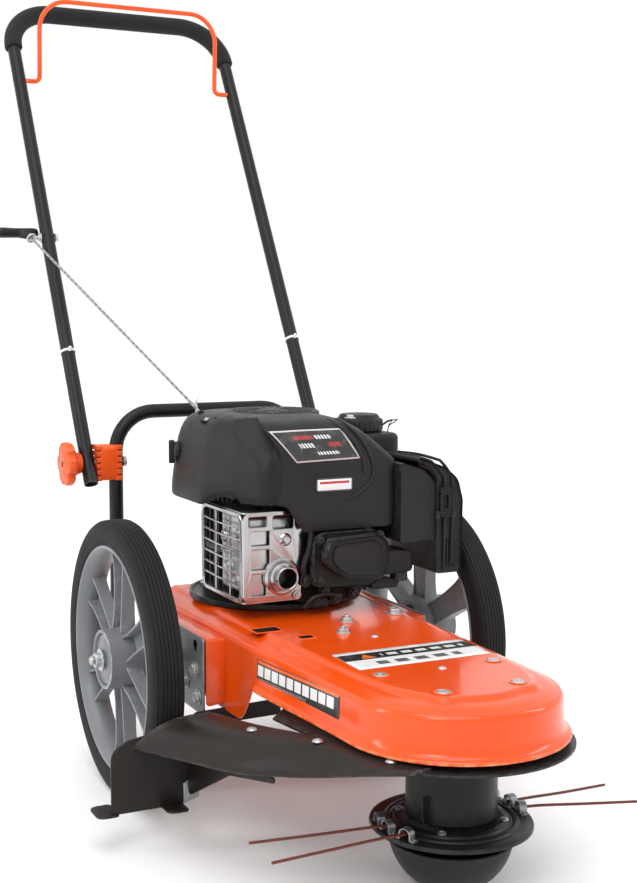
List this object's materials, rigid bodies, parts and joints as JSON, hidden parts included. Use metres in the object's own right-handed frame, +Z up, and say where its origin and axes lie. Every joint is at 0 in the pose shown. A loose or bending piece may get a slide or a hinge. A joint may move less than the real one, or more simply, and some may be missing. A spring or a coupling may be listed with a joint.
{
  "type": "brush cutter",
  "caption": "Walk-behind petrol string trimmer with high wheels, a belt-driven head on a ground dome, a long pressed deck and a folding handle with a bail.",
  "frame": {"origin": "on the ground under the trimmer spindle, at the middle of the dome's bottom flat", "axes": "+Z up, +Y to the rear along the machine towards the handle, +X across it"},
  "size_m": [0.635, 1.337, 1.211],
  "materials": {
    "deck_orange": "gloss orange paint",
    "black_paint": "satin black paint",
    "zinc": "zinc plated",
    "steel": "bare machined steel",
    "tyre_rubber": "matte",
    "rim_plastic": "moulded light grey",
    "foam": "matte foam",
    "orange_paint": "gloss orange paint",
    "orange_plastic": "moulded orange",
    "black_plastic": "fine grained black",
    "deflector": "brown-black sheet",
    "cast_alloy": "sand cast",
    "dark_casting": "dark painted casting",
    "chrome": "bright plated",
    "white_plastic": "white nylon",
    "filter_paper": "pleated paper",
    "belt_rubber": "moulded rubber",
    "line_nylon": "red-brown nylon",
    "rope_weave": "braided rope",
    "flywheel_iron": "machined",
    "yellow_plastic": "moulded yellow"
  },
  "bodies": {
    "chassis": {"deck_shell": "deck_orange", "skirt_plate": "black_paint", "debris_deflector": "deflector", "deck_fasteners": "zinc", "side_brackets": "zinc", "wheel_axle": "steel", "axle_nuts": "zinc", "hub_bushes": "black_plastic", "lower_frame": "black_paint", "frame_bolts": "zinc", "clamp_bolts": "zinc", "height_adjusters": "orange_plastic", "engine_plate": "black_paint", "crankcase": "cast_alloy", "cylinder": "cast_alloy", "valve_cover": "dark_casting", "spark_plug": "white_plastic", "muffler": "chrome", "muffler_guard": "chrome", "filter_base": "black_plastic", "filter_element": "filter_paper", "filter_cover": "black_plastic", "carburettor": "cast_alloy", "fuel_tank": "black_plastic", "oil_filler": "black_plastic", "engine_shroud": "black_paint", "recoil_cover": "black_plastic", "spindle_housing": "black_paint", "spindle_bearings": "steel", "drive_belt": "belt_rubber", "starter_rope": "rope_weave"},
    "wheel_left": {"tyre_left": "tyre_rubber", "rim_left": "rim_plastic", "spokes_left": "rim_plastic"},
    "wheel_right": {"tyre_right": "tyre_rubber", "rim_right": "rim_plastic", "spokes_right": "rim_plastic"},
    "crank": {"crankshaft": "steel", "flywheel": "flywheel_iron", "drive_pulley": "steel"},
    "idler_arm": {"idler_arm": "zinc"},
    "idler_pulley": {"idler_pulley": "steel"},
    "trimmer_head": {"spindle_shaft": "steel", "driven_pulley": "steel", "string_plate": "black_paint", "line_cleats": "zinc", "trimmer_lines": "line_nylon"},
    "ground_dome": {"ground_dome": "black_paint"},
    "handle": {"handle_tube": "black_paint", "foam_grip": "foam", "rope_guide": "zinc", "cable_ties": "white_plastic"},
    "bail": {"bail": "orange_paint"},
    "starter_grip": {"starter_grip": "black_plastic"},
    "knob_left": {"knob_left": "orange_plastic"},
    "knob_right": {"knob_right": "orange_plastic"},
    "fuel_cap": {"fuel_cap": "black_plastic"},
    "fuel_valve_knob": {"fuel_valve_knob": "black_plastic"},
    "filter_latch": {"filter_latch": "black_plastic"},
    "oil_dipstick": {"oil_dipstick": "yellow_plastic"}
  },
  "joints": [
    {"name": "wheel_left_spin", "type": "hinge", "parent": "chassis", "child": "wheel_left", "pos_m": [-0.2425, 0.457, 0.19], "axis": [1, 0, 0], "continuous": true},
    {"name": "wheel_right_spin", "type": "hinge", "parent": "chassis", "child": "wheel_right", "pos_m": [0.2425, 0.457, 0.19], "axis": [1, 0, 0], "continuous": true},
    {"name": "crank_spin", "type": "hinge", "parent": "chassis", "child": "crank", "pos_m": [0, 0.492, 0.3], "axis": [0, 0, 1], "continuous": true},
    {"name": "head_spin", "type": "hinge", "parent": "chassis", "child": "trimmer_head", "pos_m": [0, 0, 0.1], "axis": [0, 0, 1], "continuous": true},
    {"name": "dome_spin", "type": "hinge", "parent": "trimmer_head", "child": "ground_dome", "pos_m": [0, 0, 0.03], "axis": [0, 0, 1], "continuous": true},
    {"name": "idler_swing", "type": "hinge", "parent": "chassis", "child": "idler_arm", "pos_m": [0.095, 0.3, 0.2], "axis": [0, 0, 1], "range_deg": [0, 12], "stiffness_Nm_per_rad": 2, "springref_deg": -11.46},
    {"name": "idler_spin", "type": "hinge", "parent": "idler_arm", "child": "idler_pulley", "pos_m": [0.0607, 0.24, 0.21], "axis": [0, 0, 1], "continuous": true},
    {"name": "handle_fold", "type": "hinge", "parent": "chassis", "child": "handle", "pos_m": [0, 0.738, 0.4274], "axis": [1, 0, 0], "range_deg": [-25, 108], "deforming": ["starter_rope"]},
    {"name": "bail_squeeze", "type": "hinge", "parent": "handle", "child": "bail", "pos_m": [0, 1.105, 1.06306], "axis": [-1, 0, 0], "range_deg": [0, 26], "stiffness_Nm_per_rad": 1, "springref_deg": -20.05},
    {"name": "starter_pull", "type": "slide", "parent": "handle", "child": "starter_grip", "axis": [-0.237, 0.8256, 0.5121], "range_m": [0, 0.6], "stiffness_N_per_m": 30, "springref_m": -0.5},
    {"name": "knob_left_turn", "type": "hinge", "parent": "chassis", "child": "knob_left", "pos_m": [-0.23, 0.738, 0.4274], "axis": [1, 0, 0], "continuous": true},
    {"name": "knob_right_turn", "type": "hinge", "parent": "chassis", "child": "knob_right", "pos_m": [0.23, 0.738, 0.4274], "axis": [1, 0, 0], "continuous": true},
    {"name": "fuel_cap_turn", "type": "hinge", "parent": "chassis", "child": "fuel_cap", "pos_m": [0.146, 0.497, 0.5], "axis": [0, 0, 1], "range_deg": [0, 90]},
    {"name": "fuel_valve_turn", "type": "hinge", "parent": "chassis", "child": "fuel_valve_knob", "pos_m": [-0.12549, 0.55035, 0.46], "axis": [-0.9336, 0.3584, 0], "range_deg": [0, 90]},
    {"name": "filter_latch_swing", "type": "hinge", "parent": "chassis", "child": "filter_latch", "pos_m": [0.183, 0.312, 0.381], "axis": [1, 0, 0], "range_deg": [0, 40]},
    {"name": "dipstick_turn", "type": "hinge", "parent": "chassis", "child": "oil_dipstick", "pos_m": [0.06, 0.632, 0.4], "axis": [0, 0, 1], "range_deg": [0, 90]}
  ],
  "couplings": [
    {"joint": "head_spin", "follows": "crank_spin", "ratio": 0.8},
    {"joint": "idler_spin", "follows": "crank_spin", "ratio": -1.3333}
  ]
}
